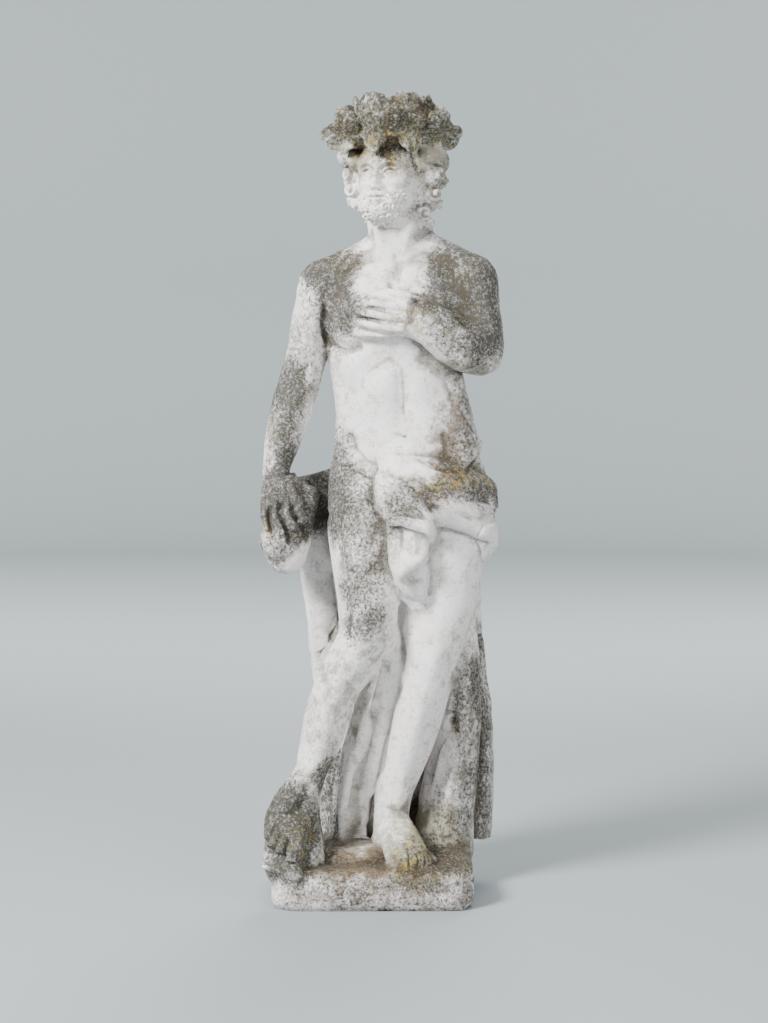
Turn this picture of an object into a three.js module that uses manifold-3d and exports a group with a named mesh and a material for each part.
// A weathered garden figure of a bearded man, carved in one stone with its low base.
// The figure wears a crown of broad leaves, a cloth wrapped round the hips and a cloak
// that falls behind to the ground. The left hand lies on the chest, and the right hand
// gathers the end of the cloak into a bundle.
//
// Frame: millimetres, +Z up, the origin at the middle of the base's underside. The
// figure looks along -Y, so +X is to the right of somebody who faces it.
import * as THREE from 'three';
import { mergeVertices } from 'three/addons/utils/BufferGeometryUtils.js';
import Module from 'manifold-3d';

// Driving dimensions
const FIGURE_HEIGHT = 1100; // from the top of the base to the tips of the crown
const BASE_WIDTH = 285;
const BASE_DEPTH = 240;
const BASE_HEIGHT = 55;
const BASE_CORNER_RADIUS = 34;
const BASE_EDGE_ROUND = 9;

// The carving is stated in shares: thousandths of the figure's height, above the base.
const SHARE = FIGURE_HEIGHT / 1000;
const FACET_TOLERANCE = 2.1; // millimetres by which flat stretches of the joined stone may be thinned
const TOUCH_GAP = 0.1; // millimetres that each of two touching places draws back into the stone
const SAME_PLACE = 0.01; // millimetres within which two places of the skin touch

const ACROSS = new THREE.Vector3(1, 0, 0);
const UPRIGHT = new THREE.Vector3(0, 0, 1);
const mix = THREE.MathUtils.lerp;

const wasm = await Module();
wasm.setup();

function at(x, y, z) {
  return new THREE.Vector3(x * SHARE, y * SHARE, BASE_HEIGHT + z * SHARE);
}

// Solids and forms

function solidOf(geometry) {
  const plain = geometry.clone();
  plain.deleteAttribute('normal');
  plain.deleteAttribute('uv');
  const merged = mergeVertices(plain, 1e-4);
  return new wasm.Manifold(
    new wasm.Mesh({
      numProp: 3,
      vertProperties: merged.attributes.position.array,
      triVerts: new Uint32Array(merged.index.array),
    }),
  );
}

function geometryFrom(points, triangles) {
  const geometry = new THREE.BufferGeometry().setFromPoints(points);
  geometry.setIndex(triangles);
  return geometry;
}

// Rings of equal count, joined into a skin, with a pole at each end.
function ringSkin(rings, firstPole, lastPole) {
  const sides = rings[0].length;
  const triangles = [];
  const vertex = (ring, side) => ring * sides + (side % sides);
  const foot = rings.length * sides;
  const head = foot + 1;
  for (let ring = 0; ring + 1 < rings.length; ring++) {
    for (let side = 0; side < sides; side++) {
      triangles.push(vertex(ring, side), vertex(ring, side + 1), vertex(ring + 1, side));
      triangles.push(vertex(ring, side + 1), vertex(ring + 1, side + 1), vertex(ring + 1, side));
    }
  }
  for (let side = 0; side < sides; side++) {
    triangles.push(foot, vertex(0, side + 1), vertex(0, side));
    triangles.push(head, vertex(rings.length - 1, side), vertex(rings.length - 1, side + 1));
  }
  return geometryFrom([...rings.flat(), firstPole, lastPole], triangles);
}

// An oval ring round a point of a spine. Boxiness over 2 flattens the oval's four sides.
function ovalRing(centre, tangent, lean, radiusA, radiusB, sides, boxiness) {
  const u = lean.clone().addScaledVector(tangent, -lean.dot(tangent)).normalize();
  const v = new THREE.Vector3().crossVectors(tangent, u);
  const bulge = (value) => Math.sign(value) * Math.abs(value) ** (2 / boxiness);
  return Array.from({ length: sides }, (_, side) => {
    const angle = (2 * Math.PI * side) / sides;
    return centre
      .clone()
      .addScaledVector(u, radiusA * bulge(Math.cos(angle)))
      .addScaledVector(v, radiusB * bulge(Math.sin(angle)));
  });
}

// A limb: oval rings along a smooth spine, with domed ends. A station is
// [x, y, z, radius along lean, radius square to it], in shares.
function limb(stations, { steps = 1, sides = 12, lean = ACROSS, boxiness = 2, dome = 0.8 } = {}) {
  const spine = new THREE.CatmullRomCurve3(stations.map(([x, y, z]) => at(x, y, z)));
  const girth = new THREE.CatmullRomCurve3(
    stations.map(([, , , a, b = a]) => new THREE.Vector3(a, b, 0).multiplyScalar(SHARE)),
  );
  const count = (stations.length - 1) * steps;
  const ringAt = (t, shrink, shift) => {
    const tangent = spine.getTangent(t);
    const radii = girth.getPoint(t);
    const reach = shift * dome * Math.min(radii.x, radii.y);
    const centre = spine.getPoint(t).addScaledVector(tangent, reach);
    const ring = ovalRing(centre, tangent, lean, radii.x * shrink, radii.y * shrink, sides, boxiness);
    return { centre, ring };
  };
  const rings = [ringAt(0, Math.SQRT1_2, -Math.SQRT1_2).ring];
  for (let step = 0; step <= count; step++) rings.push(ringAt(step / count, 1, 0).ring);
  rings.push(ringAt(1, Math.SQRT1_2, Math.SQRT1_2).ring);
  return solidOf(ringSkin(rings, ringAt(0, 1, -1).centre, ringAt(1, 1, 1).centre));
}

// A rounded mass: an ellipsoid turned about X, then Y, then Z, in degrees.
function lump([x, y, z], [rx, ry, rz], [turnX, turnY, turnZ] = [0, 0, 0], around = 10, down = 6) {
  const turn = new THREE.Euler(...[turnX, turnY, turnZ].map(THREE.MathUtils.degToRad), 'ZYX');
  const place = new THREE.Matrix4().compose(
    at(x, y, z),
    new THREE.Quaternion().setFromEuler(turn),
    new THREE.Vector3(rx, ry, rz).multiplyScalar(SHARE),
  );
  return solidOf(new THREE.SphereGeometry(1, around, down).applyMatrix4(place));
}

// A thick cloth: surface(u, v) gives [x, y, z] on its middle, in shares, for u and v from 0 to 1.
function cloth(surface, thickness, columns, rows) {
  const point = (u, v) => at(...surface(u, v));
  const reach = 0.01;
  const points = [];
  for (const side of [-0.5, 0.5]) {
    for (let row = 0; row <= rows; row++) {
      for (let column = 0; column <= columns; column++) {
        const u = column / columns;
        const v = row / rows;
        const alongU = point(u + reach, v).sub(point(u - reach, v));
        const alongV = point(u, v + reach).sub(point(u, v - reach));
        const normal = alongU.cross(alongV).normalize();
        points.push(point(u, v).addScaledVector(normal, side * thickness * SHARE));
      }
    }
  }
  const layer = (columns + 1) * (rows + 1);
  const back = (column, row) => row * (columns + 1) + column;
  const front = (column, row) => layer + back(column, row);
  const triangles = [];
  const quad = (a, b, c, d) => triangles.push(a, b, c, a, c, d);
  for (let row = 0; row < rows; row++) {
    for (let column = 0; column < columns; column++) {
      quad(front(column, row), front(column + 1, row), front(column + 1, row + 1), front(column, row + 1));
      quad(back(column, row), back(column, row + 1), back(column + 1, row + 1), back(column + 1, row));
    }
    quad(back(0, row), front(0, row), front(0, row + 1), back(0, row + 1));
    quad(front(columns, row), back(columns, row), back(columns, row + 1), front(columns, row + 1));
  }
  for (let column = 0; column < columns; column++) {
    quad(back(column, 0), back(column + 1, 0), front(column + 1, 0), front(column, 0));
    quad(front(column, rows), front(column + 1, rows), back(column + 1, rows), back(column, rows));
  }
  return solidOf(geometryFrom(points, triangles));
}

// Base: a low slab with rounded corners and worn edges, and the ground carved on it

function baseSlab() {
  const halfWidth = BASE_WIDTH / 2 - BASE_EDGE_ROUND;
  const halfDepth = BASE_DEPTH / 2 - BASE_EDGE_ROUND;
  const corner = BASE_CORNER_RADIUS - BASE_EDGE_ROUND;
  const outline = new THREE.Shape();
  outline.absarc(halfWidth - corner, -halfDepth + corner, corner, -Math.PI / 2, 0);
  outline.absarc(halfWidth - corner, halfDepth - corner, corner, 0, Math.PI / 2);
  outline.absarc(-halfWidth + corner, halfDepth - corner, corner, Math.PI / 2, Math.PI);
  outline.absarc(-halfWidth + corner, -halfDepth + corner, corner, Math.PI, 1.5 * Math.PI);
  const slab = new THREE.ExtrudeGeometry(outline, {
    depth: BASE_HEIGHT - 2 * BASE_EDGE_ROUND,
    curveSegments: 5,
    bevelSize: BASE_EDGE_ROUND,
    bevelThickness: BASE_EDGE_ROUND,
    bevelSegments: 2,
  });
  return solidOf(slab.translate(0, 0, BASE_EDGE_ROUND));
}

function ground() {
  return [
    lump([-34, 0, -4], [88, 70, 20]),
    lump([74, 12, -4], [58, 76, 15]),
  ];
}

// Body: the trunk, the slopes from the neck to the shoulders, the chest and the neck

function trunk() {
  const spine = [
    [44, 6, 440, 96, 54],
    [45, 4, 482, 106, 57],
    [43, 0, 542, 95, 52],
    [38, -2, 585, 88, 52],
    [31, -3, 627, 87, 56],
    [33, -3, 668, 93, 60],
    [35, 0, 705, 97, 60],
    [35, 4, 740, 90, 52],
    [34, 8, 768, 66, 40],
    [34, 10, 788, 42, 33],
  ];
  const neck = [
    [36, 10, 765, 46, 38],
    [32, 3, 806, 37, 37],
    [27, -1, 850, 37, 38],
  ];
  const rightSlope = [
    [22, 12, 800, 24, 28],
    [-20, 9, 775, 26, 28],
    [-60, 6, 752, 30, 32],
  ];
  const leftSlope = [
    [44, 12, 808, 24, 28],
    [88, 8, 782, 26, 30],
    [124, 4, 760, 32, 34],
  ];
  return [
    limb(spine, { sides: 18, boxiness: 2.3 }),
    limb(neck, { sides: 14 }),
    limb(rightSlope, { lean: UPRIGHT }),
    limb(leftSlope, { lean: UPRIGHT }),
    lump([-4, -32, 706], [50, 31, 38], [0, 0, -8]),
    lump([74, -32, 708], [50, 31, 38], [0, 0, 8]),
  ];
}

// Head: in its own frame, turned a little to the right shoulder

const HEAD_CENTRE = [25, -2, 905];
const HEAD_TURN = -22;

function onHead([x, y, z]) {
  const turn = THREE.MathUtils.degToRad(HEAD_TURN);
  const c = Math.cos(turn);
  const s = Math.sin(turn);
  return [HEAD_CENTRE[0] + c * x - s * y, HEAD_CENTRE[1] + s * x + c * y, HEAD_CENTRE[2] + z];
}

function headLimb(stations, options) {
  const placed = stations.map(([x, y, z, ...radii]) => [...onHead([x, y, z]), ...radii]);
  const lean = ACROSS.clone().applyAxisAngle(UPRIGHT, THREE.MathUtils.degToRad(HEAD_TURN));
  return limb(placed, { lean, ...options });
}

function headLump(centre, radii, around, down) {
  return lump(onHead(centre), radii, [0, 0, HEAD_TURN], around, down);
}

function head() {
  const skull = [
    [0, -30, -64, 20, 20],
    [0, -18, -44, 32, 36],
    [0, -8, -18, 40, 47],
    [0, -3, 8, 43, 53],
    [0, 4, 34, 46, 56],
    [0, 8, 56, 38, 46],
  ];
  const nose = [
    [0, -53, 6, 5, 5],
    [0, -59, -8, 6, 6],
    [0, -63, -18, 9, 7],
  ];
  const brow = [
    [-30, -42, 8, 6, 5],
    [-14, -52, 12, 6, 6],
    [0, -54, 9, 5, 5],
    [14, -52, 12, 6, 6],
    [30, -42, 8, 6, 5],
  ];
  const moustache = [
    [-24, -44, -42, 5, 5],
    [-9, -55, -31, 6, 6],
    [9, -55, -31, 6, 6],
    [24, -44, -42, 5, 5],
  ];
  const carved = [
    headLimb(skull, { sides: 15 }),
    headLimb(nose, { sides: 7 }),
    headLimb(brow, { sides: 7, lean: UPRIGHT }),
    headLimb(moustache, { sides: 7, lean: UPRIGHT }),
    headLump([0, -50, -43], [13, 7, 5], 9, 5),
  ];
  for (const side of [-1, 1]) carved.push(headLump([side * 17, -47, -2], [9, 6, 6], 8, 5));
  return carved;
}

// Hair and beard: a lock is a short limb that curls round on the surface of the head

function lock([x, y, z], size, turn) {
  const outward = new THREE.Vector3(x, y, 0).normalize();
  const sideways = new THREE.Vector3().crossVectors(UPRIGHT, outward);
  const bends = 4;
  const stations = Array.from({ length: bends }, (_, k) => {
    const angle = turn + (1.35 * Math.PI * k) / (bends - 1);
    const place = new THREE.Vector3(x, y, z)
      .addScaledVector(sideways, size * Math.cos(angle))
      .addScaledVector(UPRIGHT, size * Math.sin(angle));
    return [...place.toArray(), size * mix(0.85, 0.6, k / (bends - 1))];
  });
  return headLimb(stations, { sides: 5, lean: outward });
}

function hairAndBeard() {
  const hair = [
    [0, 36, -78, 30, 14],
    [0, 34, -48, 48, 26],
    [0, 28, -12, 54, 38],
    [0, 24, 20, 54, 42],
  ];
  const beard = [
    [-30, -26, -54, 11, 11],
    [0, -42, -62, 15, 15],
    [30, -26, -54, 11, 11],
  ];
  const carved = [headLimb(hair), headLimb(beard, { sides: 8, lean: UPRIGHT })];
  const sideLocks = [
    // across, forward, up, size, turn
    [50, -8, 6, 10, 0.4],
    [58, 6, -18, 12, 1.8],
    [55, 14, -46, 12, 0.2],
    [42, 26, -72, 11, 2.4],
  ];
  for (const side of [-1, 1]) {
    const lift = side < 0 ? 10 : 0;
    for (const [x, y, z, size, turn] of sideLocks) {
      carved.push(lock([side * x, y, z + lift], size, side * turn));
    }
  }
  const napeLocks = 3;
  for (let k = 0; k < napeLocks; k++) {
    const angle = mix(-0.7, 0.7, k / (napeLocks - 1));
    carved.push(lock([56 * Math.sin(angle), 62 * Math.cos(angle), -30 - 24 * (k % 2)], 14, k));
  }
  const beardLocks = 5;
  for (let k = 0; k < beardLocks; k++) {
    const angle = mix(-1.1, 1.1, k / (beardLocks - 1));
    const forward = -22 - 30 * Math.cos(angle);
    carved.push(lock([30 * Math.sin(angle), forward, -60 - 5 * Math.cos(angle)], 7, 2 * k));
  }
  return carved;
}

// Crown of broad leaves

const LEAF_THICKNESS = 9;
const LEAF_LOBES = 5;

// A leaf of blunt lobes, standing from its stalk along tip and facing along face.
function leaf(stalk, tip, face, size) {
  const outline = new THREE.Shape();
  const points = 3 * LEAF_LOBES;
  for (let k = 0; k < points; k++) {
    const angle = (2 * Math.PI * (k + 0.5)) / points;
    const reach = size * SHARE * (0.92 + 0.16 * Math.cos(LEAF_LOBES * angle));
    const x = reach * Math.sin(angle);
    const y = reach * Math.cos(angle) + 0.7 * size * SHARE;
    if (k === 0) outline.moveTo(x, y);
    else outline.lineTo(x, y);
  }
  const blade = new THREE.ExtrudeGeometry(outline, { depth: LEAF_THICKNESS * SHARE, bevelEnabled: false });
  blade.translate(0, 0, (-LEAF_THICKNESS * SHARE) / 2);
  const up = tip.clone().addScaledVector(face, -tip.dot(face)).normalize();
  const side = new THREE.Vector3().crossVectors(up, face);
  const frame = new THREE.Matrix4().makeBasis(side, up, face).setPosition(at(...stalk));
  return solidOf(blade.applyMatrix4(frame));
}

// Rows of leaves: how high on the head, how far out the stalks are, how far the tips lean
// out from upright (over 90 they hang), leaf size and count.
const LEAF_ROWS = [
  { height: 36, reach: 57, lean: 156, size: 18, count: 9, shift: 0 },
  { height: 36, reach: 60, lean: 50, size: 23, count: 9, shift: 0.5 },
  { height: 56, reach: 40, lean: 24, size: 22, count: 7, shift: 0.25 },
];
// Leaves at the sides turn to the front or the back, so their faces open that way.
const LEAF_SPREAD = 0.4;

function crown() {
  const mass = [
    [0, 6, 18, 54, 60],
    [0, 6, 42, 60, 66],
    [0, 6, 62, 55, 61],
    [0, 6, 76, 38, 43],
  ];
  const carved = [headLimb(mass, { sides: 13, dome: 0.3 })];
  for (const row of LEAF_ROWS) {
    for (let k = 0; k < row.count; k++) {
      const angle = (2 * Math.PI * (k + row.shift)) / row.count;
      const outward = new THREE.Vector3(Math.sin(angle), -Math.cos(angle), 0);
      const lean = THREE.MathUtils.degToRad(row.lean);
      const tip = outward.clone().multiplyScalar(Math.sin(lean)).addScaledVector(UPRIGHT, Math.cos(lean));
      const face = new THREE.Vector3(LEAF_SPREAD * outward.x, outward.y, 0).normalize();
      face.addScaledVector(UPRIGHT, -0.4 * Math.sin(2 * lean)).normalize();
      const stalk = [
        HEAD_CENTRE[0] + row.reach * outward.x,
        HEAD_CENTRE[1] + 4 + row.reach * 1.1 * outward.y,
        HEAD_CENTRE[2] + row.height,
      ];
      carved.push(leaf(stalk, tip, face, row.size));
    }
  }
  return carved;
}

// Arms and hands

function finger(stations) {
  return limb(stations, { sides: 7, lean: UPRIGHT, dome: 1 });
}

function rightArm() {
  const arm = [
    [-62, 6, 750, 37, 38],
    [-76, 6, 712, 31, 36],
    [-87, 6, 660, 27, 31],
    [-96, 6, 622, 28, 29],
    [-106, 2, 588, 29, 29],
    [-119, -4, 540, 24, 25],
    [-128, -8, 500, 18, 19],
    [-127, -12, 474, 20, 23],
    [-122, -16, 452, 26, 18],
  ];
  const bundle = [
    [-92, 6, 468, 24, 26],
    [-108, -1, 440, 32, 30],
    [-116, -4, 410, 36, 32],
    [-112, -4, 386, 28, 26],
  ];
  const carved = [limb(arm), limb(bundle)];
  const fingers = 4;
  for (let k = 0; k < fingers; k++) {
    const spread = mix(-1, 1, k / (fingers - 1));
    carved.push(
      finger([
        [-126 + 14 * spread, -26, 468, 8, 8],
        [-122 + 18 * spread, -36, 442, 8, 8],
        [-119 + 19 * spread, -35, 414 + 5 * k, 7, 7],
      ]),
    );
  }
  return carved;
}

function leftArm() {
  const upperArm = [
    [128, 4, 758, 37, 40],
    [134, -2, 715, 34, 37],
    [140, -14, 680, 32, 34],
    [143, -27, 652, 30, 30],
  ];
  const forearm = [
    [143, -28, 652, 29, 29],
    [120, -50, 665, 35, 29],
    [92, -64, 680, 31, 25],
    [64, -72, 697, 27, 18],
    [36, -75, 703, 26, 12],
  ];
  const carved = [
    limb(upperArm),
    limb(forearm, { lean: UPRIGHT }),
    finger([[44, -77, 724, 8, 8], [20, -74, 731, 8, 8], [0, -68, 731, 7, 7]]),
  ];
  const fingers = 4;
  for (let k = 0; k < fingers; k++) {
    const drop = 12.5 * k;
    carved.push(
      finger([
        [36, -78, 720 - drop, 7, 10],
        [6, -75, 719 - drop, 7, 10],
        [-24 + 2 * Math.abs(k - 1.5), -62, 718 - drop, 6, 9],
      ]),
    );
  }
  return carved;
}

// Legs and feet

function toe(centre, size, turn) {
  return lump(centre, [size, 1.5 * size, 1.1 * size], [20, 0, turn], 7, 5);
}

function rightLeg() {
  const leg = [
    [-4, 4, 524, 38, 40],
    [-8, 0, 480, 52, 55],
    [-12, -14, 430, 49, 54],
    [-7, -28, 384, 47, 49],
    [-3, -42, 334, 44, 45],
    [-8, -52, 292, 38, 40],
    [-28, -48, 258, 34, 36],
    [-46, -44, 226, 31, 35],
    [-61, -42, 186, 29, 32],
    [-67, -43, 155, 28, 28],
    [-76, -46, 126, 22, 24],
    [-88, -50, 94, 22, 23],
    [-92, -50, 60, 24, 26],
    [-84, -42, 24, 22, 24],
  ];
  const foot = [
    [-82, -32, 22, 22, 20],
    [-98, -54, 56, 25, 26],
    [-109, -76, 42, 28, 24],
    [-113, -94, 14, 28, 14],
  ];
  const carved = [
    limb(leg),
    limb(foot, { lean: new THREE.Vector3(0.85, -0.5, 0) }),
  ];
  const toes = 5;
  for (let k = 0; k < toes; k++) {
    const share = k / (toes - 1);
    const place = [mix(-136, -96, share), mix(-90, -106, share), mix(6, 0, share)];
    carved.push(toe(place, mix(7, 10, share), -14));
  }
  return carved;
}

function leftLeg() {
  const leg = [
    [88, 8, 520, 44, 44],
    [92, 4, 476, 55, 56],
    [97, -8, 400, 51, 54],
    [89, -18, 336, 48, 50],
    [80, -28, 286, 41, 44],
    [73, -32, 252, 35, 39],
    [63, -26, 206, 35, 37],
    [50, -16, 155, 33, 36],
    [39, -12, 118, 28, 30],
    [27, -8, 78, 24, 27],
    [23, -4, 44, 24, 28],
    [22, 4, 18, 23, 26],
  ];
  const foot = [
    [22, 6, 18, 22, 20],
    [28, -26, 40, 24, 24],
    [36, -52, 26, 28, 20],
    [44, -72, 12, 30, 12],
  ];
  const carved = [limb(leg), limb(foot), toe([30, -84, 8], 11, 4)];
  const smallToes = 4;
  for (let k = 0; k < smallToes; k++) carved.push(toe([45 + 8 * k, -84 + 5 * k, 7], 7.5 - 0.4 * k, 10));
  return carved;
}

// Cloth wrapped round the hips: the thick roll over the left hip, the smooth inner side
// below it, the corner turned over in front and the end that hangs from it

function hipCloth() {
  const roll = [
    [8, -58, 520, 8, 7],
    [36, -62, 508, 18, 11],
    [74, -60, 494, 27, 14],
    [112, -48, 478, 30, 17],
    [144, -20, 465, 30, 20],
    [150, 26, 465, 30, 18],
    [112, 58, 472, 30, 16],
    [56, 68, 474, 30, 14],
    [0, 62, 470, 34, 14],
    [-40, 52, 464, 40, 14],
  ];
  const innerSide = [
    [52, -56, 466, 26, 12],
    [88, -56, 448, 30, 15],
    [124, -42, 434, 30, 17],
    [144, -8, 430, 28, 18],
    [142, 30, 434, 28, 16],
  ];
  const turnedCorner = [
    [10, -60, 500, 12, 8],
    [22, -66, 480, 25, 12],
    [42, -68, 458, 32, 13],
    [66, -64, 438, 22, 12],
    [82, -60, 422, 8, 8],
  ];
  const hangingEnd = [
    [44, -62, 440, 28, 10],
    [44, -66, 410, 30, 12],
    [44, -66, 376, 26, 12],
    [52, -62, 350, 19, 12],
    [56, -58, 334, 11, 10],
  ];
  const sideEnd = [
    [146, -18, 436, 16, 16],
    [151, -16, 410, 15, 15],
    [146, -14, 388, 9, 11],
  ];
  return [
    limb(roll, { lean: UPRIGHT }),
    limb(innerSide, { lean: UPRIGHT }),
    limb(turnedCorner, { boxiness: 2.4 }),
    limb(hangingEnd, { boxiness: 2.6 }),
    limb(sideEnd, { sides: 8 }),
  ];
}

// Cloth that falls between the legs to the ground, in soft folds
function middleFall() {
  const fall = [
    [34, -24, 350, 20, 26],
    [22, -12, 262, 20, 28],
    [6, 0, 200, 28, 28],
    [-12, 12, 138, 29, 28],
    [-28, 26, 70, 28, 28],
    [-35, 36, 0, 27, 28],
  ];
  const fold = (shift, depth) =>
    limb(
      fall.map(([x, y, z, a]) => [x + shift * a, y - depth, z, 9, 11]),
      { sides: 7 },
    );
  return [limb(fall), fold(0.62, 22), fold(-0.35, 25)];
}

// Cloak: the panel that hangs behind, the mass that carries the left leg, and the swag to the bundle

const CLOAK_THICKNESS = 24;
const CLOAK_LEVELS = [
  // height, left edge, right edge, middle of its depth
  [2, -70, 159, 74],
  [92, -72, 163, 76],
  [160, -74, 158, 76],
  [234, -78, 148, 74],
  [316, -86, 140, 68],
  [376, -96, 142, 62],
  [430, -98, 146, 56],
  [476, -80, 140, 54],
];

function cloakLevel(share) {
  const place = THREE.MathUtils.clamp(share, 0, 1) * (CLOAK_LEVELS.length - 1);
  const low = Math.min(Math.floor(place), CLOAK_LEVELS.length - 2);
  return CLOAK_LEVELS[low].map((value, k) => mix(value, CLOAK_LEVELS[low + 1][k], place - low));
}

function cloak() {
  const folds = 5;
  const foldDepth = 10;
  const hanging = cloth(
    (u, v) => {
      const [z, left, right, depth] = cloakLevel(v);
      const wave = Math.cos(2 * Math.PI * folds * u + 2.4 * v);
      return [mix(left, right, u), depth + foldDepth * (1 - 0.7 * v) * wave, z];
    },
    CLOAK_THICKNESS,
    5 * folds,
    CLOAK_LEVELS.length - 1,
  );
  const support = [
    [92, 36, -6, 42, 44],
    [98, 38, 60, 38, 44],
    [108, 40, 120, 34, 42],
    [116, 42, 180, 30, 38],
    [118, 42, 250, 24, 34],
    [110, 40, 330, 24, 34],
    [96, 40, 420, 40, 36],
  ];
  const swag = [
    [-112, 2, 452, 40, 13],
    [-84, 26, 456, 42, 13],
    [-56, 46, 460, 44, 14],
    [-20, 56, 464, 42, 14],
  ];
  return [hanging, limb(support), limb(swag, { lean: UPRIGHT })];
}

// Where two places of the skin touch in one point, each draws back along its own normal.
function drawApart(geometry) {
  const { position, normal } = geometry.attributes;
  const groups = new Map();
  for (let k = 0; k < position.count; k++) {
    const place = new THREE.Vector3().fromBufferAttribute(position, k);
    const key = place.divideScalar(SAME_PLACE).round().toArray().join();
    groups.set(key, [...(groups.get(key) ?? []), k]);
  }
  for (const group of groups.values()) {
    if (group.length === 1) continue;
    for (const k of group) {
      const inward = new THREE.Vector3().fromBufferAttribute(normal, k).multiplyScalar(-TOUCH_GAP);
      const place = new THREE.Vector3().fromBufferAttribute(position, k).add(inward);
      position.setXYZ(k, ...place.toArray());
    }
  }
}

// The one stone

const carving = [
  ...ground(),
  ...trunk(),
  ...head(),
  ...hairAndBeard(),
  ...crown(),
  ...rightArm(),
  ...leftArm(),
  ...rightLeg(),
  ...leftLeg(),
  ...hipCloth(),
  ...middleFall(),
  ...cloak(),
];
const joined = wasm.Manifold.union(carving).asOriginal().simplify(FACET_TOLERANCE).add(baseSlab());
// A pocket that the joined masses close off inside is stone too, so only the outer skin counts.
const larger = (one, other) => (other.volume() > one.volume() ? other : one);
const stone = joined.decompose().reduce(larger).getMesh();
const geometry = new THREE.BufferGeometry();
geometry.setAttribute('position', new THREE.BufferAttribute(stone.vertProperties, 3));
geometry.setIndex(new THREE.BufferAttribute(stone.triVerts, 1));
geometry.computeVertexNormals();
drawApart(geometry);

const weatheredStone = new THREE.MeshStandardMaterial({ color: 0xb8b6b0, roughness: 0.95, metalness: 0 });
const figure = new THREE.Mesh(geometry, weatheredStone);
figure.name = 'carved_figure';

const statue = new THREE.Group();
statue.add(figure);

export default statue;
